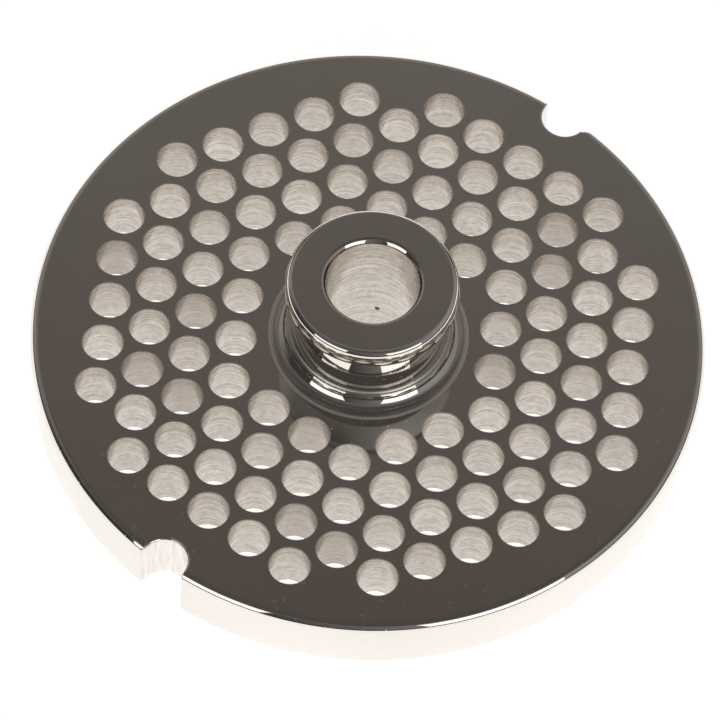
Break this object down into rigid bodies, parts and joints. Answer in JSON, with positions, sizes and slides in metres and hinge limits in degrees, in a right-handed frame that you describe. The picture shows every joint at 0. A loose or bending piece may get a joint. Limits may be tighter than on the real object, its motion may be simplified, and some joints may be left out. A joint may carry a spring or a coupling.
{
  "type": "meat grinder plate",
  "caption": "Round steel plate drilled with a close-packed field of holes, with a bored hub at its centre and rounded locating notches in its rim.",
  "frame": {"origin": "the bore's centre on the flat knife face underneath, which the plate rests on", "axes": "+Z along the bore towards the top of the hub; +X along the rows of holes; +Y and -Y through the rim notches"},
  "size_m": [0.07, 0.0698, 0.017],
  "materials": {
    "polished_steel": "mirror-polished stainless steel, with bright machined walls in the holes, bore and notches"
  },
  "bodies": {
    "root": {"grinder_plate": "polished_steel"}
  },
  "joints": []
}
